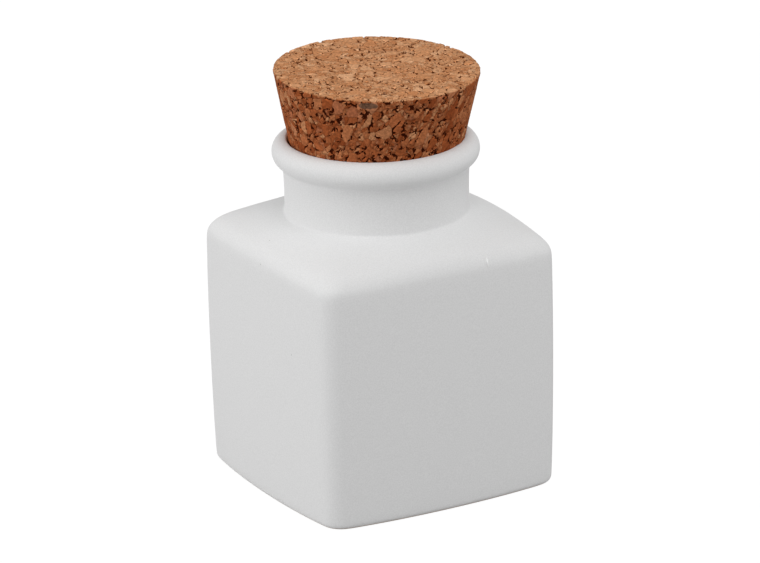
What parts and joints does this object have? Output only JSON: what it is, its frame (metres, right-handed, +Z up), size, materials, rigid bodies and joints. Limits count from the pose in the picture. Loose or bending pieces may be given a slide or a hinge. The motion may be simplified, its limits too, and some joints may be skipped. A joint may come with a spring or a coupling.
{
  "type": "ceramic canister",
  "caption": "Square unglazed ceramic canister with rounded corners, a sloping shoulder and a round neck with a rolled lip, closed by a tapered cork stopper that lifts out.",
  "frame": {"origin": "middle of the foot, on the plane of the flat foot ring that the jar stands on", "axes": "+Z up along the axis of the neck and the cork, X and Y square to the sides of the body"},
  "size_m": [0.0888, 0.0888, 0.1352],
  "materials": {
    "bisque_ceramic": "matte white unglazed bisque with a faint fine grain",
    "cork": "matte agglomerated cork, tan and brown granules with dark crevices"
  },
  "bodies": {
    "jar": {"jar_body": "bisque_ceramic"},
    "stopper": {"cork_stopper": "cork"}
  },
  "joints": [
    {"name": "stopper_lift", "type": "slide", "parent": "jar", "child": "stopper", "axis": [0, 0, 1], "range_m": [0, 0.08]}
  ]
}
